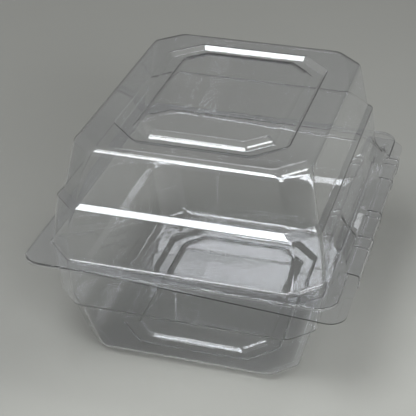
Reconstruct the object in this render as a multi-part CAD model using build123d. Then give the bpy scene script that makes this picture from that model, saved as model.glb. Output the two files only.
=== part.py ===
from build123d import *
import os

# A clear hinged clamshell pack, closed.  X runs along the front edge with the hinge on +X,
# Y runs to the back, Z is up.  The shells are drawn around their own middle, and at the end
# the whole pack is moved along X, so that the origin is the middle of its outline, on the ground.
# All sizes are in millimetres.

# sheet and clearances
sheet = 0.5                 # wall thickness of both halves
rim_gap = 0.3               # between the two rims where they rest on each other
lip_gap = 0.35              # between the lid's lip and the tray's rim inside it
hinge_gap = 0.3             # between the hinge strip's foot and the edge of the tray's rim

# rims
rim_half_x = 76.0
rim_half_y = 91.0
rim_corner = 10.0           # corner radius of both rims
lip_drop = 1.2              # turned-down lip around the lid's rim
tray_rim_overhang = 4.2     # how much further the tray's rim reaches on the hinge side
rim_level = 62.25           # underside of the lid's rim

# mouth of both halves, where the walls meet the rims
rim_width_x = 8.3           # width of the lid's rim on its left and right sides
rim_width_y = 7.5           # width of the lid's rim at its front and back
mouth_leg = 13.7            # leg of the 45 degree corner chamfer at the mouth
corner_round = 5.0          # rounding of the upright corner edges
root_round = 1.6            # rounding between wall and rim

# lid
lid_rise = 54.85            # rim's top face to the top panel
lid_step_low = 25.6         # foot of the shoulder above the rim's top face
lid_step_height = 2.6
lid_low_inset = 3.4         # how far the lower wall leans in up to the shoulder
lid_step_inset = 2.6        # width of the shoulder
lid_top_inset = 4.9         # how far the upper wall leans in
lid_leg = 11.7              # leg of the corner chamfer from the shoulder up
top_round = 4.5

# tray
tray_step_fall = 28.2       # top of the shoulder below the lid's rim
tray_step_height = 2.8
tray_low_inset = 3.6
tray_step_inset = 2.6
tray_floor_inset = 7.4
tray_leg = 11.0
floor_round = 5.0

# octagonal channel in the top panel and in the floor, where it is the foot ring
ring_margin = 14.1          # from the top panel's edge to the channel
ring_leg = 14.5             # chamfer leg of the channel's outer outline
ring_width = 9.8
ring_inner_leg = 9.6
ring_slope = 2.2            # run of the channel's sloping sides
ring_depth = 2.5
ring_corner = 2.0

# the tray's rim hangs away from the lid's rim towards the hinge
droop_start = 35.0          # the fold where it starts, from the rim's left edge
droop_front = 7.5
droop_back = 3.8

# hinge strip
hinge_centre_y = 3.0
hinge_half_length = 61.0
crease_inset = 1.7          # the strip leaves the lid's rim this far inside its edge
strip_bend_out = 1.4        # the strip turns down this far outside the tray's rim
strip_bend_share = 0.12     # share of the strip's fall at that bend
strip_bend_radius = 1.7
crimp_width = 1.6           # cross crimps pressed into the strip
crimp_height = 0.45
crimp_places = (57.0, 50.5, 34.0, -1.5, -7.0, -27.0, -37.0)

# two hollow lugs between the lid's wall and its rim, by the hinge
lug_length = 27.0           # of a lug's full part
lug_end_run = 8.5           # length of the sloping end faces along the rim
lug_front_margin = 16.8     # from the straight wall's front end to the front lug's full part
lug_back_margin = 4.8       # from the back lug's full part to the straight wall's back end
lug_height = 10.0
lug_edge_height = 1.5
lug_edge_in = 0.9           # the lug's outer edge stands this far inside the crease
lug_root_out = 0.7
lug_reach = 6.0             # how far the lug's body runs into the lid

# levels and places that follow from the sizes above
mouth_half_x = rim_half_x - rim_width_x
mouth_half_y = rim_half_y - rim_width_y
lid_step_inset_sum = lid_low_inset + lid_step_inset
lid_inset_sum = lid_step_inset_sum + lid_top_inset
tray_step_inset_sum = tray_low_inset + tray_step_inset
tray_inset_sum = tray_step_inset_sum + tray_floor_inset
ring_half_x = mouth_half_x - lid_inset_sum - ring_margin
ring_half_y = mouth_half_y - lid_inset_sum - ring_margin
floor_level = ring_depth    # underside of the floor, above the foot ring
rim_top = rim_level + sheet
lid_top = rim_top + lid_rise
tray_rim_top = rim_level - rim_gap
tray_rim_side = rim_half_x + tray_rim_overhang
droop_start_x = droop_start - rim_half_x
crease_x = rim_half_x - crease_inset
wall_end_y = mouth_half_y - mouth_leg
leg_shrink = 2 - 2**0.5     # a chamfer's leg loses this much for each millimetre of inset
slope_ratio = ring_slope / ring_depth
ring_grow = sheet * ((1 + slope_ratio**2)**0.5 - slope_ratio)
spare = 20                  # how far cutting bodies run past what they cut

os.makedirs("parts", exist_ok=True)


def octagon(half_x, half_y, leg, level, rounding):
    """A chamfered rectangle with rounded corners, lying at the given level."""
    outline = Polyline(
        (-half_x, -half_y + leg), (-half_x + leg, -half_y),
        (half_x - leg, -half_y), (half_x, -half_y + leg),
        (half_x, half_y - leg), (half_x - leg, half_y),
        (-half_x + leg, half_y), (-half_x, half_y - leg),
        close=True,
    )
    face = make_face(outline)
    return Pos(0, 0, level) * fillet(face.vertices(), rounding)


def edges_at(solid, level):
    """The edges of a solid that lie in one level plane."""
    found = []
    for edge in solid.edges():
        box = edge.bounding_box()
        if abs(box.min.Z - level) < 0.01 and abs(box.max.Z - level) < 0.01:
            found.append(edge)
    return found


def inside(edges, half_x, half_y):
    """The edges whose middles lie within a rectangle around the origin."""
    return [e for e in edges if abs(e.center().X) < half_x and abs(e.center().Y) < half_y]


def profile(rows):
    """Levels of (height, half_x, half_y, leg) from rows of (height, inset so far, leg)."""
    return [(z, mouth_half_x - inset, mouth_half_y - inset, leg) for z, inset, leg in rows]


def tub(levels, inset, end_shift, end_round):
    """A solid through the levels, drawn in by the inset, with its closed end rounded."""
    end = levels[-1][0] + end_shift
    heights = [row[0] for row in levels[:-1]] + [end]
    body = loft([
        octagon(hx - inset, hy - inset, leg - leg_shrink * inset, z, corner_round - inset)
        for z, (_, hx, hy, leg) in zip(heights, levels)
    ], ruled=True)
    return fillet(edges_at(body, end), end_round - inset)


def ring(open_level, closed_level, grow):
    """The octagonal channel's body, wide at its open level and narrow at its closed one."""
    outer_x, outer_y = ring_half_x + grow, ring_half_y + grow
    inner_x, inner_y = ring_half_x - ring_width - grow, ring_half_y - ring_width - grow
    change = leg_shrink * ring_slope
    around = loft([
        octagon(outer_x, outer_y, ring_leg, open_level, ring_corner),
        octagon(outer_x - ring_slope, outer_y - ring_slope, ring_leg - change,
                closed_level, ring_corner),
    ], ruled=True)
    middle = loft([
        octagon(inner_x, inner_y, ring_inner_leg, open_level, ring_corner),
        octagon(inner_x + ring_slope, inner_y + ring_slope, ring_inner_leg + change,
                closed_level, ring_corner),
    ], ruled=True)
    return around - middle


def plate(x_low, x_high, half_y, low, high, radius):
    """A level plate with rounded corners."""
    outline = RectangleRounded(x_high - x_low, 2 * half_y, radius)
    return extrude(Pos((x_low + x_high) / 2, 0, low) * outline, high - low)


def fall(x, y):
    """How far the tray's rim hangs below its resting level at a place."""
    if x <= droop_start_x:
        return 0
    at_hinge = (droop_front + droop_back) / 2 - (droop_front - droop_back) / 2 * y / rim_half_y
    return at_hinge * (x - droop_start_x) / (tray_rim_side - droop_start_x)


def along_rim(below, above):
    """The drooping rim's surface over the whole pack, thickened below and above."""
    reach = rim_half_y + spare
    ends = (-rim_half_x - spare, droop_start_x, tray_rim_side + spare)
    pieces = []
    for pair in zip(ends[:-1], ends[1:]):
        faces = []
        for x in pair:
            front, back = tray_rim_top - fall(x, -reach), tray_rim_top - fall(x, reach)
            faces.append(Face(Wire.make_polygon([
                (x, -reach, front - below), (x, reach, back - below),
                (x, reach, back + above), (x, -reach, front + above),
            ])))
        pieces.append(loft(faces, ruled=True))
    return pieces[0] + pieces[1]


def strip_section(y, extra):
    """The hinge strip's cross-section, a bent band as thick as the sheet plus an extra outside."""
    top = rim_level + sheet / 2
    foot_x = tray_rim_side + hinge_gap + sheet / 2
    foot = tray_rim_top - sheet / 2 - fall(foot_x, y)
    start = Vector(crease_x - sheet, 0, top)
    bend = Vector(tray_rim_side + strip_bend_out, 0, top - strip_bend_share * (top - foot))
    end = Vector(foot_x, 0, foot)
    first = (bend - start).normalized()
    second = (end - bend).normalized()
    up = Vector(-first.Z, 0, first.X)
    out = Vector(-second.Z, 0, second.X)
    mitre = (up + out) * (1 / (1 + up.dot(out)))
    outer, inner = sheet / 2 + extra, -sheet / 2
    points = [
        start + up * outer, bend + mitre * outer, end + out * outer,
        end + out * inner, bend + mitre * inner, start + up * inner,
    ]
    outline = Face(Wire.make_polygon([(p.X, y, p.Z) for p in points]))
    for point, offset in ((points[1], outer), (points[4], inner)):
        corner = outline.vertices().sort_by_distance((point.X, y, point.Z))[0]
        outline = outline.fillet_2d(strip_bend_radius + offset, [corner])
    return outline


def strip_piece(y_start, y_end, extra):
    """A length of the hinge strip."""
    return loft([strip_section(y_start, extra), strip_section(y_end, extra)], ruled=True)


def lug(start_y, front_run, back_run, inset, low):
    """A hip-ended wedge between the lid's wall and rim, with its faces drawn in by the inset."""
    end_y = start_y + lug_length
    wall_x = mouth_half_x - lid_low_inset * lug_height / lid_step_low - sheet
    edge_x = crease_x - lug_edge_in
    run, drop = edge_x - wall_x, lug_height - lug_edge_height
    slant = (run**2 + drop**2)**0.5
    top_x = wall_x - inset * (slant - run) / drop
    edge_z = lug_edge_height - inset * (slant - drop) / run
    outline = Face(Wire.make_polygon([
        (wall_x - lug_reach, start_y - front_run, low),
        (wall_x - lug_reach, start_y - front_run, rim_top + lug_height - inset),
        (top_x, start_y - front_run, rim_top + lug_height - inset),
        (edge_x - inset, start_y - front_run, rim_top + edge_z),
        (edge_x - inset, start_y - front_run, low),
    ]))
    body = extrude(outline, front_run + lug_length + back_run, dir=(0, 1, 0))
    for y, tip_y in ((start_y, start_y - front_run), (end_y, end_y + back_run)):
        a = Vector(wall_x, y, rim_top + lug_height)
        b = Vector(edge_x, y, rim_top + lug_edge_height)
        c = Vector(mouth_half_x + lug_root_out, tip_y, rim_top)
        normal = (b - a).cross(c - a).normalized()
        if normal.Y * (tip_y - y) < 0:
            normal = normal * -1
        body = split(body, bisect_by=Plane(origin=a - normal * inset, z_dir=normal),
                     keep=Keep.BOTTOM)
    return body


# lid: rim with its lip, shell, channel in the top panel, lugs, hinge strip with its crimps
lug_places = (              # start of the full part, run of the front end, run of the back end
    (-wall_end_y + lug_front_margin, lug_end_run, lug_end_run),
    (wall_end_y - lug_back_margin - lug_length, lug_end_run, lug_back_margin),
)
lid_levels = profile([
    (rim_level, 0, mouth_leg),
    (rim_top + lid_step_low, lid_low_inset, lid_leg),
    (rim_top + lid_step_low + lid_step_height, lid_step_inset_sum, lid_leg),
    (lid_top, lid_inset_sum, lid_leg),
])
lid_outer = tub(lid_levels, 0, 0, top_round) - ring(lid_top, lid_top - ring_depth, 0)
lid_inner = tub(lid_levels, sheet, -sheet, top_round)
lid_inner -= ring(lid_top - sheet, lid_top - ring_depth - sheet, ring_grow)

lip = plate(-rim_half_x, rim_half_x, rim_half_y, rim_level - lip_drop, rim_level, rim_corner)
lip -= plate(-rim_half_x + sheet, rim_half_x - sheet, rim_half_y - sheet,
             rim_level - lip_drop, rim_level, rim_corner - sheet)
lid = plate(-rim_half_x, rim_half_x, rim_half_y, rim_level, rim_top, rim_corner)
lid = lid + lip + lid_outer
lid = fillet(inside(edges_at(lid, rim_top), mouth_half_x + 1, mouth_half_y + 1), root_round)
for lug_place in lug_places:
    lid += lug(*lug_place, 0, rim_level)
lid -= lid_inner
for lug_place in lug_places:
    lid -= lug(*lug_place, sheet, rim_level - lip_drop)
slot = Box(spare, 2 * hinge_half_length, spare, align=(Align.MIN, Align.CENTER, Align.CENTER))
lid -= Pos(crease_x, hinge_centre_y, rim_level) * slot
lid += strip_piece(hinge_centre_y - hinge_half_length, hinge_centre_y + hinge_half_length, 0)
for place in crimp_places:
    middle = hinge_centre_y + place
    lid += strip_piece(middle - crimp_width / 2, middle + crimp_width / 2, crimp_height)

# tray: shell with its foot ring, drooping rim
tray_levels = profile([
    (rim_level, 0, mouth_leg),
    (rim_top - tray_step_fall, tray_low_inset, tray_leg),
    (rim_top - tray_step_fall - tray_step_height, tray_step_inset_sum, tray_leg),
    (floor_level, tray_inset_sum, tray_leg),
])
tray_outer = tub(tray_levels, 0, 0, floor_round) + ring(floor_level, 0, 0)
tray_inner = tub(tray_levels, sheet, sheet, floor_round)
tray_inner += ring(floor_level + sheet, sheet, -ring_grow)

tray_rim = along_rim(sheet, 0) & plate(
    -rim_half_x + sheet + lip_gap, tray_rim_side, rim_half_y - sheet - lip_gap,
    0, rim_top, rim_corner)
tray = tray_outer - along_rim(sheet / 2, spare) + tray_rim - tray_inner

# the pack's outline reaches further on the hinge side, so it is centred as a whole
boxes = [tray.bounding_box(), lid.bounding_box()]
middle_x = (min(box.min.X for box in boxes) + max(box.max.X for box in boxes)) / 2
for name, body in (("tray", tray), ("lid", lid)):
    centred = Pos(-middle_x, 0, 0) * body
    centred.label = name
    export_step(centred, f"parts/{name}.step")
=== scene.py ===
import math

import bpy
from bpy.props import (
    FloatProperty,
    FloatVectorProperty,
    PointerProperty,
)
from mathutils import Matrix, Vector, noise


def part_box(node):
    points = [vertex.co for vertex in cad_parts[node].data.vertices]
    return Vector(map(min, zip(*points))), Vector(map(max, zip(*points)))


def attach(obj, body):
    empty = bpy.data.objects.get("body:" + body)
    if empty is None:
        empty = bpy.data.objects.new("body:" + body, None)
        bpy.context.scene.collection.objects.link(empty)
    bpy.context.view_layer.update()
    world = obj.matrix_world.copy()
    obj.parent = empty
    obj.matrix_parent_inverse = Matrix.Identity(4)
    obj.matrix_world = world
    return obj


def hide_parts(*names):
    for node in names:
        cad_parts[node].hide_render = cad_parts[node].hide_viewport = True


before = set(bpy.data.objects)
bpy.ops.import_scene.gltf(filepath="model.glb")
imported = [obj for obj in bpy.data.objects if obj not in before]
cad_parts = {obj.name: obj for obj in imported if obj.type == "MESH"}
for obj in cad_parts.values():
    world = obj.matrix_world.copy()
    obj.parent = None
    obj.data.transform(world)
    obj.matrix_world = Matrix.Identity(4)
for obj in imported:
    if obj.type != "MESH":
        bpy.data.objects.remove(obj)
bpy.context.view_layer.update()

bl_info = {
    "name": "Clear Clamshell Pack",
    "version": (1, 0, 0),
    "blender": (4, 5, 0),
    "location": "View3D > Sidebar > Clamshell",
    "description": "Builds a clear hinged clamshell pack around its fixed frame, with a plain stage",
    "category": "Add Mesh",
}

# What the frame says: the box of the lid and the low corner of the tray's box, before anything is added.
LID_LOW, LID_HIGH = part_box("lid")
TRAY_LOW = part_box("tray")[0]

MM = 0.001
PLASTIC_NAME = "clear_formed_sheet"

# Octagonal outlines, whose eight corners turn by 45 degrees each.
LEG_SHRINK = 2 - math.sqrt(2)           # a corner chamfer's leg loses this much per unit of inset
ARC_TANGENT = math.tan(math.radians(22.5))
ARC_WEIGHT = math.cos(math.radians(22.5))
ROUND_LEG = 2 * ARC_TANGENT / math.sqrt(2)  # the leg at which two 45 degree arcs make a quarter circle
RIM_LEG_SHARE = 1.02                    # the rim's corner keeps a trace of its chamfer
RIM_ROUND_SHARE = 0.94

# Steps of the mesh: around each outline, over each rounding and along each wall.
CORNER_STEPS = 5
CHAMFER_COLUMNS = 7
SIDE_COLUMNS = 26
TRAY_HINGE_COLUMNS = 40                 # the tray's sagging sides need more columns
TRAY_END_COLUMNS = 34
EDGE_STEPS = 4
TRAY_ROOT_STEPS = 5
LID_ROOT_STEPS = 6
END_STEPS = 8
LID_RIM_STEPS = 5
TRAY_RIM_STEPS = 6
LIP_STEPS = 2
SHOULDER_STEPS = 2
MARGIN_STEPS = 6
SLOPE_STEPS = 1
CHANNEL_FLOOR_STEPS = 2
LOW_WALL_STEPS = 14
HIGH_WALL_STEPS = 10
PANEL_STEPS = 12
PANEL_LEAST = 0.06                      # size of a panel's innermost outline, as a share of the panel

# The forming ripples: each half's place in the noise, and a finer noise on top of the first.
LID_SEED, TRAY_SEED = 1.3, 4.1
SEED_Y, SEED_Z = 0.37, 1.7
OVERTONE, OVERTONE_SCALE = 0.35, 2.7

# Form of the lugs, the crimps and the sagging rim.
LUG_SEARCH_HEIGHT = 1.3                 # lugs are looked for up to this many lug heights
LUG_SEARCH_SLANT = 0.6                  # and only where x is more than this share of y
LUG_END_SOFTNESS = 0.05                 # of the turn between a lug and its ends, as a share of the run
LUG_END_LIMIT = 1.2                     # a lug's sloping end is over past this share of its run
CRIMP_FLAT = 0.3                        # share of a crimp's half width that is level
CRIMP_COLUMN = 0.175                    # columns at a crimp, as a share of its width
CRIMP_SIDE_COLUMNS = 4
STRIP_COLUMN = 3 * MM                   # columns elsewhere along the strip
STRIP_CLEAR = 0.45                      # share of a column that an added one keeps from the others
STRIP_LEAST = 0.12 * MM                 # columns nearer than this become one
GROOVE_STEPS = 4
STRIP_STEPS = 5
BEND_STEPS = 8
CRIMP_RUN = 3                           # the crimps rise over this many points from the crease
TRAY_ROOT_SHARE = 0.7                   # the tray's root rounding, as a share of the lid's
SAG_EDGE = 6                            # walls lean in with the sag in the outer sixth of each side
SOFT_REACH = 3                          # a soft turn starts this many softnesses before 0
SOFT_DROP = 12                          # and is lowered by one part in this many of its softness

# Noise of the finishes, the light and shade painted on the floor across the stage, and how the
# surroundings change across it.
SMUDGE_NOISE = {"Scale": 38.0, "Detail": 5.0, "Roughness": 0.55}
SMUDGE_START, SMUDGE_END = 0.5, 0.8
FINE_NOISE = {"Scale": 130.0, "Detail": 2.0}
FLOOR_NOISE = {"Scale": 9.0, "Detail": 6.0}
FLOOR_MOTTLE = 0.08
PAINTED_LIGHT_TOWARDS = (1, -1, 0)              # the floor's colour is painted lighter this way as painted light, and darker the other way as painted shade
FLOOR_GAP = 0.05 * MM
SKY_TOWARDS = (0, -0.8, 0.6)            # and the surroundings this way
SKY_START = -0.8

# Lamps: name, place, the point each one faces, width, depth, and the setting for its power.
PACK_MIDDLE = (0, 0, 0.06)
LAMPS = (
    ("main_lamp", (-0.25, -0.68, 1.13), PACK_MIDDLE, 0.65, 0.33, "main_power"),
    ("front_strip", (-0.25, -0.47, 1.24), PACK_MIDDLE, 0.65, 0.08, "strip_power"),
    ("top_strip", (-0.25, -0.28, 1.3), PACK_MIDDLE, 0.65, 0.08, "strip_power"),
    ("side_lamp", (0.6, 0.25, 1.25), PACK_MIDDLE, 0.3, 0.3, "side_power"),
    ("back_lamp", (-1.05, 4.08, 2.69), PACK_MIDDLE, 1.14, 0.245, "back_power"),
    ("low_lamp", (0.75, -0.95, 0.6), (0.05, -0.05, 0), 0.9, 0.4, "low_power"),
)
CAMERA_SENSOR = 36
SHEET_BOUNCES = 32                      # enough for a ray through all the sheets and back
GLOSS_BOUNCES = 8


def length(name, description, millimetres):
    """A length setting with its default in millimetres."""
    return FloatProperty(name=name, description=description, default=millimetres * MM, unit="LENGTH")


class PACK_PG_sheet(bpy.types.PropertyGroup):
    """Sizes that both halves share."""

    thickness: length("Sheet", "Wall thickness of both halves", 0.5)
    rim_half_x: length("Rim half width", "Half of the lid's rim from left to right", 76)
    rim_half_y: FloatProperty(
        name="Rim half length", description="Half of the lid's rim from front to back",
        default=LID_HIGH.y, unit="LENGTH",
    )
    rim_corner: length("Rim corner", "Corner radius of both rims", 10)
    rim_width_x: length("Side rim", "Width of the rim on its left and right sides", 8.3)
    rim_width_y: length("Front rim", "Width of the rim at its front and back", 7.5)
    rim_gap: length("Rim gap", "Gap between the two rims", 0.3)
    lip_gap: length("Lip gap", "Gap between the lid's lip and the tray's rim inside it", 0.35)
    mouth_leg: length("Mouth chamfer", "Leg of the corner chamfer at the mouth", 13.7)
    corner_round: length("Corner rounding", "Rounding of the upright corner edges", 5)
    root_round: length("Root rounding", "Rounding between the walls and the rims", 1.6)
    shoulder_round: length("Shoulder rounding", "Rounding of both shoulders", 1.1)
    edge_round: length("Edge rounding", "Rounding where the lid's rim turns down into its lip", 0.5)


class PACK_PG_lid(bpy.types.PropertyGroup):
    """Sizes of the lid, from its rim up."""

    lip_drop: length("Lip", "Height of the turned-down lip below the rim", 1.2)
    rise: length("Rise", "From the rim's top face to the top panel", 54.85)
    shoulder_low: length("Shoulder foot", "Foot of the shoulder above the rim's top face", 25.6)
    shoulder_height: length("Shoulder height", "Height of the shoulder", 2.6)
    low_inset: length("Lower lean", "How far the lower wall leans in", 3.4)
    shoulder_inset: length("Shoulder width", "Width of the shoulder", 2.6)
    top_inset: length("Upper lean", "How far the upper wall leans in", 4.9)
    leg: length("Chamfer", "Leg of the corner chamfer from the shoulder up", 11.7)
    top_round: length("Top rounding", "Rounding of the top panel's edge", 4.5)


class PACK_PG_tray(bpy.types.PropertyGroup):
    """Sizes of the tray, from its rim down."""

    shoulder_fall: length("Shoulder fall", "Top of the shoulder below the lid's rim", 28.2)
    shoulder_height: length("Shoulder height", "Height of the shoulder", 2.8)
    low_inset: length("Upper lean", "How far the upper wall leans in down to the shoulder", 3.6)
    shoulder_inset: length("Shoulder width", "Width of the shoulder", 2.6)
    floor_inset: length("Lower lean", "How far the lower wall leans in", 7.4)
    leg: length("Chamfer", "Leg of the corner chamfer from the shoulder down", 11)
    floor_round: length("Floor rounding", "Rounding of the floor's edge", 5)
    rim_overhang: length("Rim overhang", "How much further the rim reaches on the hinge side", 4.2)
    droop_start: length("Sag start", "Where the rim starts to sag, from its left edge", 35)
    droop_front: length("Front sag", "Sag of the rim at the hinge side's front corner", 7.5)
    droop_back: length("Back sag", "Sag of the rim at the hinge side's back corner", 3.8)


class PACK_PG_channel(bpy.types.PropertyGroup):
    """Sizes of the octagonal channel, which is the foot ring in the floor."""

    margin: length("Margin", "From the top panel's edge to the channel", 14.1)
    leg: length("Outer chamfer", "Leg of the outer outline's chamfer", 14.5)
    width: length("Width", "Width of the channel", 9.8)
    inner_leg: length("Inner chamfer", "Leg of the inner outline's chamfer", 9.6)
    slope: length("Slope", "Run of the channel's sloping sides", 2.2)
    depth: length("Depth", "Depth of the channel", 2.5)
    corner: length("Corner", "Corner radius of the channel", 2)
    edge_round: length("Edge rounding", "Rounding along the channel's edges", 0.8)


class PACK_PG_hinge(bpy.types.PropertyGroup):
    """Sizes of the hinge strip, its crimps and the two lugs beside it."""

    centre: length("Centre", "Middle of the strip, towards the back", 3)
    half_length: length("Half length", "Half of the strip's length", 61)
    crease_inset: length("Crease", "The strip leaves the lid's rim this far inside its edge", 1.7)
    groove_width: length("Groove width", "Width of the groove along the crease", 1.4)
    groove_depth: length("Groove depth", "Depth of the groove along the crease", 0.4)
    bend_out: length("Bend", "The strip turns down this far outside the tray's rim", 1.4)
    bend_share: FloatProperty(
        name="Bend fall", description="Share of the strip's fall at its bend",
        default=0.12, subtype="FACTOR",
    )
    bend_round: length("Bend rounding", "Rounding of the bend", 1.9)
    foot_gap: length("Foot gap", "Gap between the strip's foot and the tray's rim", 0.3)
    crimp_width: length("Crimp width", "Width of a cross crimp", 1.6)
    crimp_height: length("Crimp height", "Height of a cross crimp", 0.42)
    crimps: FloatVectorProperty(
        name="Crimps", description="Places of the cross crimps, from the strip's middle", size=7,
        default=(-37 * MM, -27 * MM, -7 * MM, -1.5 * MM, 34 * MM, 50.5 * MM, 57 * MM), unit="LENGTH",
    )
    lugs: FloatVectorProperty(
        name="Lugs", description="Places of the two lugs, from the strip's middle", size=2,
        default=(-42.5 * MM, 48.5 * MM), unit="LENGTH",
    )
    lug_half_length: length("Lug half length", "Half of a lug's full part", 13.5)
    lug_end_run: length("Lug ends", "Length of a lug's sloping ends", 8.5)
    lug_back_run: length("Last lug end", "Length of the back lug's sloping back end", 4.8)
    lug_height: length("Lug height", "Height of a lug on the lid's wall", 10)
    lug_edge_height: length("Lug edge height", "Height of a lug's outer edge", 1.5)
    lug_edge_in: length("Lug edge", "A lug's outer edge stands this far inside the crease", 0.9)
    lug_edge_round: length("Lug rounding", "Softness of a lug's edges", 0.45)


class PACK_PG_plastic(bpy.types.PropertyGroup):
    """Look of the clear sheet."""

    tint: FloatVectorProperty(
        name="Tint", description="Colour of the light that passes the sheet", subtype="COLOR",
        default=(0.975, 0.98, 0.992), min=0, max=1,
    )
    roughness: FloatProperty(
        name="Roughness", description="Roughness of the polished sheet", default=0.015, subtype="FACTOR"
    )
    smudge: FloatProperty(
        name="Smudges", description="Extra roughness where the sheet has been handled",
        default=0.04, subtype="FACTOR",
    )
    refraction: FloatProperty(name="Refraction", description="Index of refraction", default=1.57)
    ripple: length("Ripple", "Depth of the sheet's forming ripples", 0.06)
    ripple_length: length("Ripple length", "Size of the forming ripples", 26)
    fine_depth: length("Fine ripple", "Depth of the finest ripples, in the finish only", 0.2)
    fine_strength: FloatProperty(
        name="Fine strength", description="Strength of the finest ripples", default=0.12, subtype="FACTOR"
    )


class PACK_PG_stage(bpy.types.PropertyGroup):
    """Floor, lamps and camera."""

    # The floor's near and far colours paint light and shade: lighter in front, where the lamps fall, and
    # darker behind.
    floor_near_painted_light: FloatVectorProperty(
        name="Near floor", description="Colour of the plain floor in front", subtype="COLOR",
        default=(0.322, 0.322, 0.298), min=0, max=1,
    )
    floor_far_painted_shade: FloatVectorProperty(
        name="Far floor", description="Colour of the plain floor behind", subtype="COLOR",
        default=(0.25, 0.25, 0.232), min=0, max=1,
    )
    painted_light_start: FloatProperty(
        name="Turn start", description="Where the floor starts to get lighter, towards the front right",
        default=-0.03, unit="LENGTH",
    )
    painted_light_end: FloatProperty(
        name="Turn end", description="Where the floor's light part begins, towards the front right",
        default=0.11, unit="LENGTH",
    )
    floor_size: FloatProperty(
        name="Floor size", description="Width of the plain floor", default=6.0, unit="LENGTH"
    )
    ambient_front: FloatProperty(
        name="Front ambient", description="Strength of the surroundings in front and above", default=0.6
    )
    ambient_back: FloatProperty(
        name="Back ambient", description="Strength of the surroundings behind", default=0.05
    )
    main_power: FloatProperty(
        name="Main lamp", description="Power of the long lamp in front", default=7.0, unit="POWER"
    )
    strip_power: FloatProperty(
        name="Strips", description="Power of each of the two narrow lamps overhead", default=2.0,
        unit="POWER",
    )
    side_power: FloatProperty(
        name="Side lamp", description="Power of the small lamp at the upper right", default=2.2,
        unit="POWER",
    )
    back_power: FloatProperty(
        name="Back lamp", description="Power of the far lamp behind", default=1.3, unit="POWER"
    )
    low_power: FloatProperty(
        name="Low lamp", description="Power of the low lamp in front", default=16.0, unit="POWER"
    )
    lamp_colour: FloatVectorProperty(
        name="Lamp colour", description="Colour of all lamps", subtype="COLOR",
        default=(0.95, 0.975, 1.0), min=0, max=1,
    )
    camera_place: FloatVectorProperty(
        name="Camera", description="Place of the camera", subtype="XYZ", unit="LENGTH",
        default=(0.1471, -0.5523, 0.38775),
    )
    camera_azimuth: FloatProperty(
        name="Azimuth", description="Turn of the camera to the right of the front",
        default=math.radians(16.07), subtype="ANGLE",
    )
    camera_elevation: FloatProperty(
        name="Elevation", description="Height of the camera above the horizon",
        default=math.radians(30.35), subtype="ANGLE",
    )
    camera_roll: FloatProperty(
        name="Roll", description="Roll of the camera", default=math.radians(0.094), subtype="ANGLE"
    )
    camera_lens: FloatProperty(
        name="Lens", description="Focal length in millimetres", default=109.88, unit="CAMERA"
    )


class Row:
    """One level outline of a shell: a chamfered rectangle with rounded corners."""

    def __init__(self, half_x, half_y, leg, corner, z, centre_x=0.0):
        self.values = Vector((half_x, half_y, leg, corner, z, centre_x))

    @classmethod
    def of(cls, values):
        """A row with the given values."""
        row = cls(0, 0, 0, 0, 0)
        row.values = values
        return row

    @property
    def z(self):
        """The row's height."""
        return self.values[4]

    def mixed(self, other, share):
        """The row a share of the way to another one."""
        return Row.of(self.values.lerp(other.values, share))


def rounded_rows(stations):
    """Rows through the stations (row, rounding, arc steps, steps on to the next one)."""
    rows = []
    count = len(stations)
    leave = None
    for place, (row, rounding, arc_steps, steps) in enumerate(stations):
        if place == 0 or place == count - 1 or not rounding:
            arrive, depart, arc = row, row, [row]
        else:
            before, after = stations[place - 1][0], stations[place + 1][0]
            to_before = section_step(row, before)
            to_after = section_step(row, after)
            turn = math.pi - to_before.angle(to_after)
            reach = rounding * math.tan(turn / 2)
            arrive = row.mixed(before, reach / to_before.length)
            depart = row.mixed(after, reach / to_after.length)
            weight = math.cos(turn / 2)
            arc = [Row.of(on_arc(arrive.values, row.values, depart.values, weight, k / arc_steps))
                   for k in range(arc_steps + 1)]
        if leave is not None:
            start, between = leave
            rows += [start.mixed(arrive, k / between) for k in range(1, between)]
        rows += arc
        leave = (depart, steps)
    return rows


def section_step(row, other):
    """The way from one row to another in the shell's cross-section."""
    return Vector((other.values[0] - row.values[0], other.z - row.z))


def on_arc(start, corner, end, weight, share):
    """A point on the circular arc that rounds a corner, a share of the way along it."""
    a = (1 - share) ** 2
    b = 2 * weight * share * (1 - share)
    c = share ** 2
    return (start * a + corner * b + end * c) / (a + b + c)


class Loop:
    """The columns of a shell: where the points of each outline lie around it."""

    def __init__(self, right, back, left, front, chamfer):
        self.sides = (right, chamfer, back, chamfer, left, chamfer, front, chamfer)
        self.count = sum(len(side) for side in self.sides) + 8 * (CORNER_STEPS - 1)

    def points(self, row):
        """The outline's points in the plane, counter-clockwise from the front end of the right side."""
        half_x, half_y, leg, corner, _, centre_x = row.values
        short_x, short_y = half_x - leg, half_y - leg
        corners = [
            Vector((half_x, -short_y)), Vector((half_x, short_y)),
            Vector((short_x, half_y)), Vector((-short_x, half_y)),
            Vector((-half_x, short_y)), Vector((-half_x, -short_y)),
            Vector((-short_x, -half_y)), Vector((short_x, -half_y)),
        ]
        tangent = corner * ARC_TANGENT
        shift = Vector((centre_x, 0))
        found = []
        for side, shares in enumerate(self.sides):
            start, end = corners[side], corners[(side + 1) % 8]
            after = corners[(side + 2) % 8]
            along = (end - start).normalized()
            onward = (after - end).normalized()
            first, last = start + along * tangent, end - along * tangent
            found += [first.lerp(last, share) + shift for share in shares]
            turn_end = end + onward * tangent
            found += [on_arc(last, end, turn_end, ARC_WEIGHT, k / CORNER_STEPS) + shift
                      for k in range(1, CORNER_STEPS)]
        return found


def even(count):
    """Even shares from 0 to 1, with both ends."""
    return [k / (count - 1) for k in range(count)]


def smooth_step(share):
    """0 below 0 and 1 above 1, with a soft rise between."""
    share = min(max(share, 0.0), 1.0)
    return share * share * (3 - 2 * share)


def soft_positive(value, softness):
    """The value where it is positive and 0 elsewhere, with a soft turn between."""
    if value < -SOFT_REACH * softness:
        return 0.0
    return 0.5 * (value + math.sqrt(value * value + softness * softness)) - softness / SOFT_DROP


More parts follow.
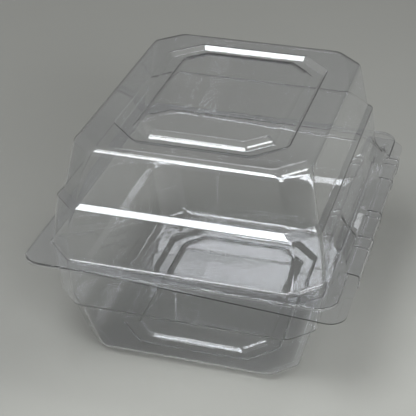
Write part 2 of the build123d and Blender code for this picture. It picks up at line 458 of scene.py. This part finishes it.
def ripple_at(point, look, seed):
    """Depth of the sheet's forming ripples at a point, never outwards."""
    place = point / look.ripple_length + Vector((seed, seed * SEED_Y, seed * SEED_Z))
    wave = noise.noise(place) + OVERTONE * noise.noise(place * OVERTONE_SCALE)
    return -look.ripple * (0.5 + 0.5 * max(-1.0, min(1.0, wave)))


class Sheet:
    """Vertices and faces of one formed sheet, given on its outer side."""

    def __init__(self):
        self.points = []
        self.faces = []

    def add_row(self, points):
        """The numbers of a row of new vertices."""
        start = len(self.points)
        self.points += points
        return list(range(start, start + len(points)))

    def join(self, low, high, closed=True):
        """Quads between two rows of vertex numbers of the same length."""
        count = len(low)
        for k in range(count if closed else count - 1):
            after = (k + 1) % count
            self.faces.append((low[k], low[after], high[after], high[k]))

    def cap(self, row, middle):
        """A fan of triangles from a row to one middle point."""
        top = self.add_row([middle])[0]
        for k, number in enumerate(row):
            self.faces.append((number, row[(k + 1) % len(row)], top))


def make_object(name, sheet, thickness, look, seed, flip):
    """A mesh object with the sheet's ripples and, on its inner side, its thickness."""
    mesh = bpy.data.meshes.new(name)
    mesh.from_pydata(sheet.points, [], sheet.faces)
    if flip:
        mesh.flip_normals()
    mesh.validate()
    mesh.update()
    normals = [Vector(v.normal) for v in mesh.vertices]
    outer = [p + n * ripple_at(p, look, seed) for p, n in zip(sheet.points, normals)]
    inner = [p - n * thickness for p, n in zip(outer, normals)]
    faces = [tuple(face.vertices) for face in mesh.polygons]
    count = len(outer)
    # A face's side with no other face along it belongs to the sheet's rim.
    sides = {side: True for face in faces for side in zip(face, face[1:] + face[:1])}
    rims = [(a, b) for a, b in sides if (b, a) not in sides]
    bpy.data.meshes.remove(mesh)
    all_faces = faces + [tuple(k + count for k in reversed(face)) for face in faces]
    all_faces += [(b, a, a + count, b + count) for a, b in rims]
    mesh = bpy.data.meshes.new(name)
    mesh.from_pydata(outer + inner, [], all_faces)
    mesh.update()
    for face in mesh.polygons:
        face.use_smooth = True
    sharp = set()
    for a, b in rims:
        sharp.add((min(a, b), max(a, b)))
        sharp.add((min(a, b) + count, max(a, b) + count))
    for edge in mesh.edges:
        if tuple(sorted(edge.vertices)) in sharp:
            edge.use_edge_sharp = True
    thing = bpy.data.objects.new(name, mesh)
    bpy.context.scene.collection.objects.link(thing)
    flatter = thing.modifiers.new("weighted_normals", "WEIGHTED_NORMAL")
    flatter.keep_sharp = True
    return thing


def mouth(sheet):
    """Half the size of the opening inside the rims."""
    return sheet.rim_half_x - sheet.rim_width_x, sheet.rim_half_y - sheet.rim_width_y


def rim_row(sheet, inset, z, reach_right=0.0):
    """The rim's rounded rectangle, drawn in by an inset and lengthened on the hinge side."""
    corner = sheet.rim_corner - inset
    half_x = sheet.rim_half_x - inset + reach_right / 2
    return Row(half_x, sheet.rim_half_y - inset, corner * ROUND_LEG * RIM_LEG_SHARE,
               corner * RIM_ROUND_SHARE, z, centre_x=reach_right / 2)


def channel_stations(sheet, lid, channel, closed_z, depth_z):
    """The channel's four edges, from the outer one inwards to the middle panel's."""
    half_x, half_y = mouth(sheet)
    inset = lid.low_inset + lid.shoulder_inset + lid.top_inset + channel.margin
    outer_x, outer_y = half_x - inset, half_y - inset
    inner_x, inner_y = outer_x - channel.width, outer_y - channel.width
    slope, corner, edge = channel.slope, channel.corner, channel.edge_round
    change = LEG_SHRINK * slope
    return [
        (Row(outer_x, outer_y, channel.leg, corner, closed_z), edge, EDGE_STEPS, SLOPE_STEPS),
        (Row(outer_x - slope, outer_y - slope, channel.leg - change, corner, depth_z),
         edge, EDGE_STEPS, CHANNEL_FLOOR_STEPS),
        (Row(inner_x + slope, inner_y + slope, channel.inner_leg + change, corner, depth_z),
         edge, EDGE_STEPS, SLOPE_STEPS),
        (Row(inner_x, inner_y, channel.inner_leg, corner, closed_z), edge, EDGE_STEPS, 0),
    ]


def panel_rows(row):
    """Rows that shrink towards the middle of a flat panel."""
    found = []
    for k in range(1, PANEL_STEPS + 1):
        scale = 1 - (1 - PANEL_LEAST) * k / PANEL_STEPS
        values = row.values * scale
        values[4], values[5] = row.values[4], row.values[5]
        found.append(Row.of(values))
    return found


def place_rows(loop, rows):
    """The rows' points in space, around the shells' own middle."""
    return [[Vector((p.x, p.y, row.z)) for p in loop.points(row)] for row in rows]


class ClamshellBuilder:
    """The values that both halves are built from, with x from the middle of the lid's rim."""

    def __init__(self, scene):
        self.sheet = scene.clamshell_sheet
        self.lid = scene.clamshell_lid
        self.tray = scene.clamshell_tray
        self.channel = scene.clamshell_channel
        self.hinge = scene.clamshell_hinge
        self.look = scene.clamshell_plastic
        self.middle_x = LID_LOW.x + self.sheet.rim_half_x
        self.lid_top = LID_HIGH.z
        self.rim_top = self.lid_top - self.lid.rise
        self.rim_level = self.rim_top - self.sheet.thickness
        self.tray_rim_top = self.rim_level - self.sheet.rim_gap
        self.tray_rim_under = self.tray_rim_top - self.sheet.thickness
        self.tray_shoulder_z = self.rim_top - self.tray.shoulder_fall
        self.tray_side = self.sheet.rim_half_x + self.tray.rim_overhang
        self.crease_x = self.sheet.rim_half_x - self.hinge.crease_inset
        self.lid_lean = self.lid.low_inset / (self.lid.shoulder_low + self.sheet.thickness)
        self.tray_lean = self.tray.low_inset / (self.rim_level - self.tray_shoulder_z)

    def fall(self, x, y):
        """How far the tray's rim sags below its resting level at a place."""
        start = self.tray.droop_start - self.sheet.rim_half_x
        if x <= start:
            return 0.0
        front, back = self.tray.droop_front, self.tray.droop_back
        at_hinge = (front + back) / 2 - (front - back) / 2 * y / self.sheet.rim_half_y
        return at_hinge * (x - start) / (self.tray_side - start)

    def moved(self, points):
        """The points moved to where the frame has the shells' middle."""
        shift = Vector((self.middle_x, 0, 0))
        return [p + shift for p in points]


def lid_rows(b):
    """The lid's rows from its crease line over the rim and up to the middle of the top panel."""
    sheet, lid, channel = b.sheet, b.lid, b.channel
    half_x, half_y = mouth(sheet)
    root = b.lid_lean * sheet.thickness
    shoulder = lid.low_inset + lid.shoulder_inset
    top = shoulder + lid.top_inset
    low_z = b.rim_top + lid.shoulder_low
    stations = [
        (rim_row(sheet, b.hinge.crease_inset, b.rim_top), 0, 0, LID_RIM_STEPS),
        (Row(half_x - root, half_y - root, sheet.mouth_leg, sheet.corner_round, b.rim_top),
         sheet.root_round, LID_ROOT_STEPS, LOW_WALL_STEPS),
        (Row(half_x - lid.low_inset, half_y - lid.low_inset, lid.leg, sheet.corner_round, low_z),
         sheet.shoulder_round, EDGE_STEPS, SHOULDER_STEPS),
        (Row(half_x - shoulder, half_y - shoulder, lid.leg, sheet.corner_round,
             low_z + lid.shoulder_height), sheet.shoulder_round, EDGE_STEPS, HIGH_WALL_STEPS),
        (Row(half_x - top, half_y - top, lid.leg, sheet.corner_round, b.lid_top),
         lid.top_round, END_STEPS, MARGIN_STEPS),
    ]
    stations += channel_stations(sheet, lid, channel, b.lid_top, b.lid_top - channel.depth)
    rows = rounded_rows(stations)
    return rows + panel_rows(rows[-1])


def lug_run(hinge, place, away):
    """Length of a lug's sloping end on the side that is asked for."""
    return hinge.lug_back_run if place > 0 and away > 0 else hinge.lug_end_run


def lug_lift(b, point):
    """How far a point beside the hinge is pushed out by the lug there."""
    hinge, sheet = b.hinge, b.sheet
    half_x = mouth(sheet)[0]
    wall_x = half_x - b.lid_lean * (hinge.lug_height + sheet.thickness)
    edge_x = b.crease_x - hinge.lug_edge_in
    run, drop = edge_x - wall_x, hinge.lug_height - hinge.lug_edge_height
    out = Vector((drop, run)).normalized()
    face = out.dot(Vector((edge_x, hinge.lug_edge_height)))
    root = out.dot(Vector((half_x + sheet.edge_round, 0)))
    here = out.dot(Vector((point.x, point.z - b.rim_top)))
    best = 0.0
    for place in hinge.lugs:
        away = point.y - hinge.centre - place
        beyond = abs(away) - hinge.lug_half_length
        share = soft_positive(beyond / lug_run(hinge, place, away), LUG_END_SOFTNESS)
        if share > LUG_END_LIMIT:
            continue
        level = face + (root - face) * share
        best = max(best, soft_positive(level - here, hinge.lug_edge_round))
    near_crease = smooth_step((b.crease_x - point.x) / (2 * hinge.lug_edge_in))
    return out * best * near_crease


def add_lugs(b, rows):
    """Pushes the two lugs out of the rim and the wall beside the hinge."""
    reach = b.rim_top + LUG_SEARCH_HEIGHT * b.hinge.lug_height
    for row in rows:
        for point in row:
            if point.z < reach and point.x > abs(point.y) * LUG_SEARCH_SLANT:
                lift = lug_lift(b, point)
                point.x += lift.x
                point.z += lift.y


def strip_section(b, y):
    """The hinge strip's outer line at a place, from the crease to its foot, with its normals."""
    hinge, sheet = b.hinge, b.sheet
    foot_x = b.tray_side + hinge.foot_gap + sheet.thickness
    foot_z = b.tray_rim_top - sheet.thickness / 2 - b.fall(foot_x, y)
    start = Vector((b.crease_x, b.rim_top))
    bend = Vector((b.tray_side + hinge.bend_out + sheet.thickness / 2,
                   b.rim_top - hinge.bend_share * (b.rim_top - foot_z)))
    end = Vector((foot_x, foot_z))
    to_start, to_end = start - bend, end - bend
    turn = math.pi - to_start.angle(to_end)
    reach = hinge.bend_round * math.tan(turn / 2)
    first = bend + to_start.normalized() * reach
    last = bend + to_end.normalized() * reach
    weight = math.cos(turn / 2)
    along = (first - start).normalized()
    line = []
    for k in range(1, GROOVE_STEPS + 1):
        depth = hinge.groove_depth * math.sin(math.pi * k / GROOVE_STEPS) ** 2
        line.append(start + along * (hinge.groove_width * k / GROOVE_STEPS) - Vector((0, depth)))
    line += [line[-1].lerp(first, k / STRIP_STEPS) for k in range(1, STRIP_STEPS + 1)]
    line += [on_arc(first, bend, last, weight, k / BEND_STEPS) for k in range(1, BEND_STEPS)]
    line += [last.lerp(end, k / STRIP_STEPS) for k in range(STRIP_STEPS + 1)]
    normals = []
    for k in range(len(line)):
        before = start if k == 0 else line[k - 1]
        after = line[min(k + 1, len(line) - 1)]
        along = (after - before).normalized()
        normals.append(Vector((-along.y, along.x)))
    return line, normals


def crimp_at(b, y):
    """Height of the cross crimps on the strip at a place."""
    hinge = b.hinge
    height = 0.0
    for place in hinge.crimps:
        away = abs(y - hinge.centre - place) / (hinge.crimp_width / 2)
        if away < 1:
            fallen = smooth_step((away - CRIMP_FLAT) / (1 - CRIMP_FLAT))
            height = max(height, hinge.crimp_height * (1 - fallen))
    return height


def hinge_columns(b):
    """Columns along the hinge side: shares of the straight side, places, and the strip's two ends."""
    hinge, sheet = b.hinge, b.sheet
    half = sheet.rim_half_y - sheet.rim_corner
    low, high = hinge.centre - hinge.half_length, hinge.centre + hinge.half_length
    places = {-half, low, high, half, (low - half) / 2, (high + half) / 2}
    for place in hinge.crimps:
        for k in range(-CRIMP_SIDE_COLUMNS, CRIMP_SIDE_COLUMNS + 1):
            places.add(hinge.centre + place + k * hinge.crimp_width * CRIMP_COLUMN)
    for place in hinge.lugs:
        for side in (-1, 1):
            places.add(hinge.centre + place + side * hinge.lug_half_length)
            run = lug_run(hinge, place, side)
            places.add(hinge.centre + place + side * (hinge.lug_half_length + run))
    filler = low + STRIP_COLUMN
    while filler < high:
        if min(abs(filler - p) for p in places) > STRIP_COLUMN * STRIP_CLEAR:
            places.add(filler)
        filler += STRIP_COLUMN
    kept = []
    for place in sorted(places):
        if not kept or place - kept[-1] > STRIP_LEAST:
            kept.append(place)
    shares = [(place + half) / (2 * half) for place in kept]
    first = min(range(len(kept)), key=lambda k: abs(kept[k] - low))
    last = min(range(len(kept)), key=lambda k: abs(kept[k] - high))
    return shares, kept, first, last


def build_lid(b):
    """The lid as one sheet: rim with its lip, walls, top panel, lugs and hinge strip."""
    sheet, lid = b.sheet, b.lid
    shares, places, first, last = hinge_columns(b)
    side = even(SIDE_COLUMNS)
    loop = Loop(shares, side, side, side, even(CHAMFER_COLUMNS))
    rows = place_rows(loop, lid_rows(b))
    add_lugs(b, rows)
    shell = Sheet()
    numbers = [shell.add_row(b.moved(row)) for row in rows]
    for low, high in zip(numbers, numbers[1:]):
        shell.join(low, high)
    shell.cap(numbers[-1], Vector((b.middle_x, 0, b.lid_top)))
    # The rim's edge and its lip, all round but for the hinge strip's length.
    lip_rows = rounded_rows([
        (rim_row(sheet, 0, b.rim_level - lid.lip_drop), 0, 0, LIP_STEPS),
        (rim_row(sheet, 0, b.rim_top), sheet.edge_round, EDGE_STEPS, LIP_STEPS),
        (rim_row(sheet, b.hinge.crease_inset, b.rim_top), 0, 0, 0),
    ])[:-1]
    around = list(range(last, loop.count)) + list(range(0, first + 1))
    lip_numbers = []
    for row in place_rows(loop, lip_rows):
        moved = b.moved(row)
        lip_numbers.append(shell.add_row([moved[k] for k in around]))
    lip_numbers.append([numbers[0][k] for k in around])
    for low, high in zip(lip_numbers, lip_numbers[1:]):
        shell.join(low, high, closed=False)
    # The hinge strip, from the crease out and down to its foot.
    columns = []
    for k in range(first, last + 1):
        y = places[k]
        line, normals = strip_section(b, y)
        height = crimp_at(b, y)
        column = []
        for place, (p, n) in enumerate(zip(line, normals)):
            grown = p + n * height * smooth_step((place + 1) / CRIMP_RUN)
            column.append(Vector((grown.x, y, grown.y)))
        columns.append(b.moved(column))
    strip_numbers = [numbers[0][first:last + 1]]
    for level in range(len(columns[0])):
        strip_numbers.append(shell.add_row([column[level] for column in columns]))
    for high, low in zip(strip_numbers, strip_numbers[1:]):
        shell.join(low, high, closed=False)
    return make_object("lid_sheet", shell, sheet.thickness, b.look, LID_SEED, False)


def tray_rows(b):
    """The tray's rows from its rim's edge in, down the walls and to the middle of the floor."""
    sheet, tray, channel = b.sheet, b.tray, b.channel
    half_x, half_y = mouth(sheet)
    under, high_z, floor_z = b.tray_rim_under, b.tray_shoulder_z, channel.depth
    low_z = high_z - tray.shoulder_height
    shoulder = tray.low_inset + tray.shoulder_inset
    floor = shoulder + tray.floor_inset
    root = b.tray_lean * (b.rim_level - under)
    edge_in = sheet.thickness + sheet.lip_gap
    stations = [
        (rim_row(sheet, edge_in, under, tray.rim_overhang + edge_in), 0, 0, TRAY_RIM_STEPS),
        (Row(half_x - root, half_y - root, sheet.mouth_leg, sheet.corner_round, under),
         sheet.root_round * TRAY_ROOT_SHARE, TRAY_ROOT_STEPS, LOW_WALL_STEPS),
        (Row(half_x - tray.low_inset, half_y - tray.low_inset, tray.leg, sheet.corner_round, high_z),
         sheet.shoulder_round, EDGE_STEPS, SHOULDER_STEPS),
        (Row(half_x - shoulder, half_y - shoulder, tray.leg, sheet.corner_round, low_z),
         sheet.shoulder_round, EDGE_STEPS, HIGH_WALL_STEPS),
        (Row(half_x - floor, half_y - floor, tray.leg, sheet.corner_round, floor_z),
         tray.floor_round, END_STEPS, MARGIN_STEPS),
    ]
    stations += channel_stations(sheet, b.lid, channel, floor_z, 0.0)
    rows = rounded_rows(stations)
    return rows + panel_rows(rows[-1])


def wall_share(share):
    """How much a place near a side belongs to that side's wall, with the side's sign."""
    return math.copysign(smooth_step(abs(share) * SAG_EDGE - (SAG_EDGE - 1)), share)


def sag(b, rows):
    """Lets the tray's rim and upper walls sag towards the hinge."""
    sheet, foot, under = b.sheet, b.tray_shoulder_z, b.tray_rim_under
    half_x, half_y = mouth(sheet)
    for row in rows:
        for point in row:
            share = (point.z - foot) / (under - foot)
            if share <= 0:
                continue
            drop = b.fall(point.x, point.y) * share
            on_rim = max((abs(point.x) - half_x) / sheet.rim_width_x,
                         (abs(point.y) - half_y) / sheet.rim_width_y)
            inward = b.tray_lean * drop * (1 - smooth_step(on_rim))
            point.x -= inward * wall_share(point.x / half_x)
            point.y -= inward * wall_share(point.y / half_y)
            point.z -= drop


def build_tray(b):
    """The tray as one sheet: sagging rim, walls, floor and foot ring."""
    end = even(TRAY_END_COLUMNS)
    loop = Loop(even(TRAY_HINGE_COLUMNS), end, even(SIDE_COLUMNS), end, even(CHAMFER_COLUMNS))
    rows = place_rows(loop, tray_rows(b))
    sag(b, rows)
    shell = Sheet()
    numbers = [shell.add_row(b.moved(row)) for row in rows]
    for low, high in zip(numbers, numbers[1:]):
        shell.join(low, high)
    shell.cap(numbers[-1], Vector((b.middle_x, 0, b.channel.depth)))
    return make_object("tray_sheet", shell, b.sheet.thickness, b.look, TRAY_SEED, True)


def new_material(name):
    """An empty node material and its tree."""
    material = bpy.data.materials.new(name)
    material.use_nodes = True
    tree = material.node_tree
    tree.nodes.clear()
    return material, tree


def add_node(tree, kind, place, **settings):
    """A node at a place in the editor, with its attributes and inputs set, _ standing for a space."""
    node = tree.nodes.new(kind)
    node.location = place
    for key, value in settings.items():
        if hasattr(node, key):
            setattr(node, key, value)
        else:
            node.inputs[key.replace("_", " ")].default_value = value
    return node


def clear_plastic(look):
    """Clear glossy sheet with faint handling smudges and fine ripples."""
    material, tree = new_material(PLASTIC_NAME)
    link = tree.links.new
    output = add_node(tree, "ShaderNodeOutputMaterial", (700, 0))
    surface = add_node(tree, "ShaderNodeBsdfPrincipled", (400, 0), Base_Color=(*look.tint, 1),
                       IOR=look.refraction, Transmission_Weight=1.0)
    place = add_node(tree, "ShaderNodeTexCoord", (-900, 0))
    smudges = add_node(tree, "ShaderNodeTexNoise", (-650, 100), **SMUDGE_NOISE)
    spread = add_node(tree, "ShaderNodeMapRange", (-400, 100), From_Min=SMUDGE_START, From_Max=SMUDGE_END,
                      To_Min=look.roughness, To_Max=look.roughness + look.smudge)
    ripples = add_node(tree, "ShaderNodeTexNoise", (-650, -250), **FINE_NOISE)
    bump = add_node(tree, "ShaderNodeBump", (-150, -250), Strength=look.fine_strength,
                    Distance=look.fine_depth)
    link(place.outputs["Object"], smudges.inputs["Vector"])
    link(place.outputs["Object"], ripples.inputs["Vector"])
    link(smudges.outputs["Fac"], spread.inputs["Value"])
    link(spread.outputs["Result"], surface.inputs["Roughness"])
    link(ripples.outputs["Fac"], bump.inputs["Height"])
    link(bump.outputs["Normal"], surface.inputs["Normal"])
    link(surface.outputs["BSDF"], output.inputs["Surface"])
    return material


def floor_with_painted_light(stage):
    """Plain matt floor with a very faint mottle, and with painted light and shade: its colour is painted
    lighter in front than behind.
    """
    material, tree = new_material("plain_floor")
    link = tree.links.new
    output = add_node(tree, "ShaderNodeOutputMaterial", (500, 0))
    surface = add_node(tree, "ShaderNodeBsdfPrincipled", (200, 0), Roughness=0.95,
                       Specular_IOR_Level=0.1)
    place = add_node(tree, "ShaderNodeTexCoord", (-700, 0))
    mottle = add_node(tree, "ShaderNodeTexNoise", (-450, 0), **FLOOR_NOISE)
    # Painted light and shade: the colour turns from the darker far colour to the lighter near one towards
    # the front right.
    forward = add_node(tree, "ShaderNodeVectorMath", (-450, 250), operation="DOT_PRODUCT")
    forward.inputs[1].default_value = PAINTED_LIGHT_TOWARDS
    turn = add_node(tree, "ShaderNodeMapRange", (-200, 250), interpolation_type="SMOOTHSTEP",
                    From_Min=stage.painted_light_start, From_Max=stage.painted_light_end)
    speck = add_node(tree, "ShaderNodeMapRange", (-200, 0), To_Min=-FLOOR_MOTTLE, To_Max=FLOOR_MOTTLE)
    total = add_node(tree, "ShaderNodeMath", (0, 150), operation="ADD")
    mix = add_node(tree, "ShaderNodeMix", (0, 0), data_type="RGBA", clamp_factor=False)
    far, near = [socket for socket in mix.inputs if socket.type == "RGBA"]
    far.default_value = (*stage.floor_far_painted_shade, 1)
    near.default_value = (*stage.floor_near_painted_light, 1)
    colour = [socket for socket in mix.outputs if socket.type == "RGBA"][0]
    link(place.outputs["Object"], mottle.inputs["Vector"])
    link(place.outputs["Object"], forward.inputs[0])
    link(forward.outputs["Value"], turn.inputs["Value"])
    link(mottle.outputs["Fac"], speck.inputs["Value"])
    link(turn.outputs["Result"], total.inputs[0])
    link(speck.outputs["Result"], total.inputs[1])
    link(total.outputs["Value"], mix.inputs["Factor"])
    link(colour, surface.inputs["Base Color"])
    link(surface.outputs["BSDF"], output.inputs["Surface"])
    return material


def surroundings(tree, stage):
    """Even soft surroundings, brighter in front and above than behind."""
    link = tree.links.new
    background = tree.nodes["Background"]
    background.inputs["Color"].default_value = (1, 1, 1, 1)
    direction = add_node(tree, "ShaderNodeTexCoord", (-900, 0))
    facing = add_node(tree, "ShaderNodeVectorMath", (-650, 0), operation="DOT_PRODUCT")
    facing.inputs[1].default_value = SKY_TOWARDS
    level = add_node(tree, "ShaderNodeMapRange", (-400, 0), From_Min=SKY_START, From_Max=1.0,
                     To_Min=stage.ambient_back, To_Max=stage.ambient_front)
    link(direction.outputs["Generated"], facing.inputs[0])
    link(facing.outputs["Value"], level.inputs["Value"])
    link(level.outputs["Result"], background.inputs["Strength"])


def dress(thing, material, node, body):
    """Gives a piece its finish, lets it stand for its node and ride on its body."""
    thing.data.materials.append(material)
    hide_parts(node)
    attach(thing, body)


def plastic_material(scene):
    """The clear sheet's material, made once for both halves."""
    return bpy.data.materials.get(PLASTIC_NAME) or clear_plastic(scene.clamshell_plastic)


class PACK_OT_lid(bpy.types.Operator):
    """Build the lid with its rim, lip, channel, lugs and hinge strip"""

    bl_idname = "clamshell.lid"
    bl_label = "Lid"

    def execute(self, context):
        thing = build_lid(ClamshellBuilder(context.scene))
        dress(thing, plastic_material(context.scene), "lid", "lid")
        return {"FINISHED"}


class PACK_OT_tray(bpy.types.Operator):
    """Build the tray with its sagging rim, shoulder, floor and foot ring"""

    bl_idname = "clamshell.tray"
    bl_label = "Tray"

    def execute(self, context):
        thing = build_tray(ClamshellBuilder(context.scene))
        dress(thing, plastic_material(context.scene), "tray", "tray")
        return {"FINISHED"}


def area_lamp(name, place, target, width, depth, power):
    """A rectangular lamp that faces a point."""
    data = bpy.data.lights.new(name, "AREA")
    data.shape = "RECTANGLE"
    data.size = width
    data.size_y = depth
    data.energy = power
    data.color = bpy.context.scene.clamshell_stage.lamp_colour
    lamp = bpy.data.objects.new(name, data)
    lamp.location = place
    bpy.context.scene.collection.objects.link(lamp)
    lamp.rotation_euler = (Vector(target) - lamp.location).to_track_quat("-Z", "Y").to_euler()


class PACK_OT_stage(bpy.types.Operator):
    """Lay the floor, set the lamps and place the camera"""

    bl_idname = "clamshell.stage"
    bl_label = "Stage"

    def execute(self, context):
        scene = context.scene
        stage = scene.clamshell_stage
        half = stage.floor_size / 2
        mesh = bpy.data.meshes.new("floor")
        mesh.from_pydata([(-half, -half, 0), (half, -half, 0), (half, half, 0), (-half, half, 0)],
                         [], [(0, 1, 2, 3)])
        floor = bpy.data.objects.new("floor", mesh)
        scene.collection.objects.link(floor)
        floor.location.z = TRAY_LOW.z - FLOOR_GAP
        floor.data.materials.append(floor_with_painted_light(stage))

        world = bpy.data.worlds.new("studio")
        scene.world = world
        world.use_nodes = True
        surroundings(world.node_tree, stage)

        for name, place, target, width, depth, power in LAMPS:
            area_lamp(name, place, target, width, depth, getattr(stage, power))

        data = bpy.data.cameras.new("camera")
        data.lens = stage.camera_lens
        data.sensor_width = CAMERA_SENSOR
        camera = bpy.data.objects.new("camera", data)
        scene.collection.objects.link(camera)
        azimuth, elevation = stage.camera_azimuth, stage.camera_elevation
        back = Vector((math.sin(azimuth) * math.cos(elevation),
                       -math.cos(azimuth) * math.cos(elevation), math.sin(elevation)))
        camera.location = stage.camera_place
        turn = (-back).to_track_quat("-Z", "Y").to_matrix()
        roll = Matrix.Rotation(stage.camera_roll, 3, "Z")
        camera.rotation_euler = (turn @ roll).to_euler()
        scene.camera = camera

        scene.view_settings.view_transform = "Standard"
        scene.cycles.max_bounces = SHEET_BOUNCES
        scene.cycles.transmission_bounces = SHEET_BOUNCES
        scene.cycles.transparent_max_bounces = SHEET_BOUNCES
        scene.cycles.glossy_bounces = GLOSS_BOUNCES
        return {"FINISHED"}


class PACK_PT_panel(bpy.types.Panel):
    """The pack's sizes and the steps that build it"""

    bl_idname = "PACK_PT_panel"
    bl_label = "Clamshell Pack"
    bl_space_type = "VIEW_3D"
    bl_region_type = "UI"
    bl_category = "Clamshell"

    def draw(self, context):
        layout = self.layout
        for label, attribute, group in GROUPS:
            box = layout.box()
            box.label(text=label)
            settings = getattr(context.scene, attribute)
            for key in group.__annotations__:
                box.prop(settings, key)
        for step in STEPS:
            layout.operator(step.bl_idname)


GROUPS = (
    ("Sheet", "clamshell_sheet", PACK_PG_sheet),
    ("Lid", "clamshell_lid", PACK_PG_lid),
    ("Tray", "clamshell_tray", PACK_PG_tray),
    ("Channel", "clamshell_channel", PACK_PG_channel),
    ("Hinge", "clamshell_hinge", PACK_PG_hinge),
    ("Plastic", "clamshell_plastic", PACK_PG_plastic),
    ("Stage", "clamshell_stage", PACK_PG_stage),
)
STEPS = (PACK_OT_tray, PACK_OT_lid, PACK_OT_stage)


def register():
    """Registers the settings, the steps and the panel."""
    for _, attribute, group in GROUPS:
        bpy.utils.register_class(group)
        setattr(bpy.types.Scene, attribute, PointerProperty(type=group))
    for step in STEPS:
        bpy.utils.register_class(step)
    bpy.utils.register_class(PACK_PT_panel)


def unregister():
    """Takes back what register did."""
    bpy.utils.unregister_class(PACK_PT_panel)
    for step in reversed(STEPS):
        bpy.utils.unregister_class(step)
    for _, attribute, group in reversed(GROUPS):
        delattr(bpy.types.Scene, attribute)
        bpy.utils.unregister_class(group)


def main():
    """Builds the pack and its stage, step by step."""
    register()
    bpy.ops.clamshell.tray()
    bpy.ops.clamshell.lid()
    bpy.ops.clamshell.stage()


if __name__ == "__main__":
    main()
